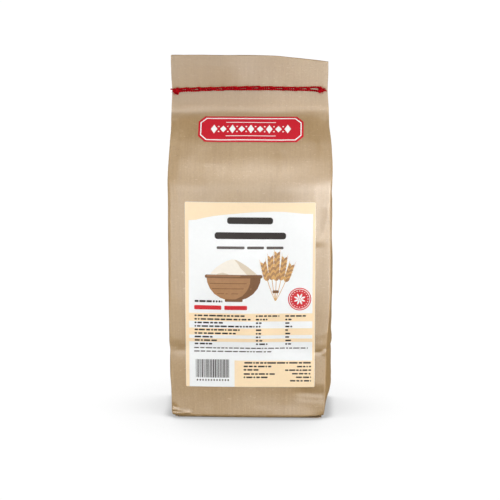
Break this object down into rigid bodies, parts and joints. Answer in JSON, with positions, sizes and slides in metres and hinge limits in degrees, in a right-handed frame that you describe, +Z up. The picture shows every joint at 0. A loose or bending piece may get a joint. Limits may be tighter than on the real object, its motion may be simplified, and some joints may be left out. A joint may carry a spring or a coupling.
{
  "type": "flour bag",
  "caption": "Filled kraft paper flour bag with side gussets and a flat base, its top pressed flat and sewn shut with thick cord, with plain printed stickers on the front",
  "frame": {"origin": "On the floor under the middle of the bag's base", "axes": "+Z up the height of the bag, the labelled front faces -Y, +X to the right as seen from the front"},
  "size_m": [0.1272, 0.0784, 0.2763],
  "materials": {
    "kraft_paper": "uncoated brown kraft paper with fine upright ribs and a soft sheen",
    "red_cord": "soft spun deep red cord",
    "label_paper": "smooth white sticker with pale peach print",
    "badge_paper": "smooth red printed sticker with a white line border"
  },
  "bodies": {
    "root": {"bag": "kraft_paper", "seam_cord": "red_cord", "label": "label_paper", "badge": "badge_paper"}
  },
  "joints": []
}
